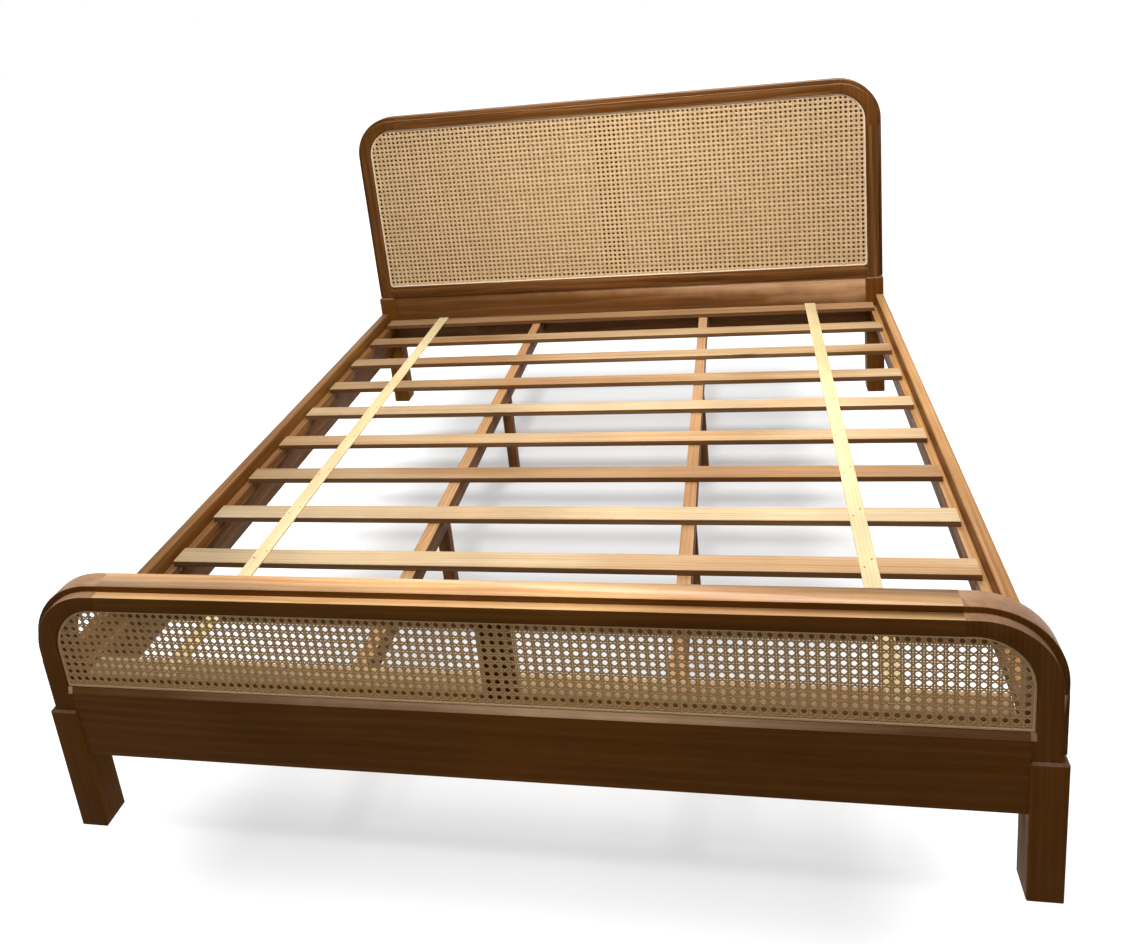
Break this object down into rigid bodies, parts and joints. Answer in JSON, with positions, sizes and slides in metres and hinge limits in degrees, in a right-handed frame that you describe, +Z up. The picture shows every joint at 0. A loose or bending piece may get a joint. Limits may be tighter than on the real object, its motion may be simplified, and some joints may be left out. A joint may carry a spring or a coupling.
{
  "type": "bed frame",
  "caption": "Timber double bed frame with woven cane panels in a round-cornered headboard and footboard, side rails on hook fittings, and a loose slatted deck on ledgers and centre beams.",
  "frame": {"origin": "on the floor, under the middle of the bed's outline", "axes": "+Z up from the floor, +Y along the bed from the footboard to the headboard, +X across the bed, to the right when seen from the foot"},
  "size_m": [1.876, 2.16, 1.138],
  "materials": {
    "walnut_frame": "dark brown oiled timber, satin",
    "walnut_rail": "orange-brown oiled timber, satin",
    "slat_wood": "pale tan planed timber, matt",
    "lath_wood": "pale cream thin timber strip, matt",
    "panel_wood": "thin tan plywood panel, matt",
    "dowel_wood": "plain hardwood",
    "cane": "golden brown woven cane, satin",
    "reed": "pale tan split reed, satin",
    "steel": "plain zinc-coloured steel"
  },
  "bodies": {
    "frame": {"foot_leg_left": "walnut_frame", "foot_leg_right": "walnut_frame", "foot_stile_left": "walnut_frame", "foot_stile_right": "walnut_frame", "foot_corner_left": "walnut_frame", "foot_corner_right": "walnut_frame", "foot_top_rail": "walnut_rail", "foot_apron": "walnut_frame", "foot_mullion": "walnut_frame", "foot_cane": "cane", "foot_reed": "reed", "foot_ledger": "walnut_rail", "head_leg_left": "walnut_frame", "head_leg_right": "walnut_frame", "head_stile_left": "walnut_frame", "head_stile_right": "walnut_frame", "head_corner_left": "walnut_frame", "head_corner_right": "walnut_frame", "head_top_rail": "walnut_rail", "head_sill": "walnut_frame", "head_board": "walnut_rail", "head_mullion": "walnut_frame", "head_cane": "cane", "head_reed": "reed", "head_back_panel": "panel_wood", "side_rail_left": "walnut_rail", "side_rail_right": "walnut_rail", "side_ledger_left": "walnut_rail", "side_ledger_right": "walnut_rail", "beam_left": "slat_wood", "beam_right": "slat_wood", "beam_leg_left_foot": "slat_wood", "beam_leg_left_head": "slat_wood", "beam_leg_right_foot": "slat_wood", "beam_leg_right_head": "slat_wood", "foot_dowels": "dowel_wood", "head_dowels": "dowel_wood", "rail_hook_plates": "steel", "rail_keeper_plates": "steel", "plate_screws": "steel", "panel_screws": "steel", "ledger_screws": "steel", "beam_shoes": "steel", "beam_shoe_screws": "steel", "beam_leg_bolts": "steel"},
    "slat_deck": {"slat_01": "slat_wood", "slat_02": "slat_wood", "slat_03": "slat_wood", "slat_04": "slat_wood", "slat_05": "slat_wood", "slat_06": "slat_wood", "slat_07": "slat_wood", "slat_08": "slat_wood", "slat_09": "slat_wood", "slat_10": "slat_wood", "slat_11": "slat_wood", "lath_left": "lath_wood", "lath_right": "lath_wood", "lath_brads": "steel"}
  },
  "joints": [
    {"name": "deck_lift", "type": "slide", "parent": "frame", "child": "slat_deck", "axis": [0, 0, 1], "range_m": [0, 0.1]}
  ]
}
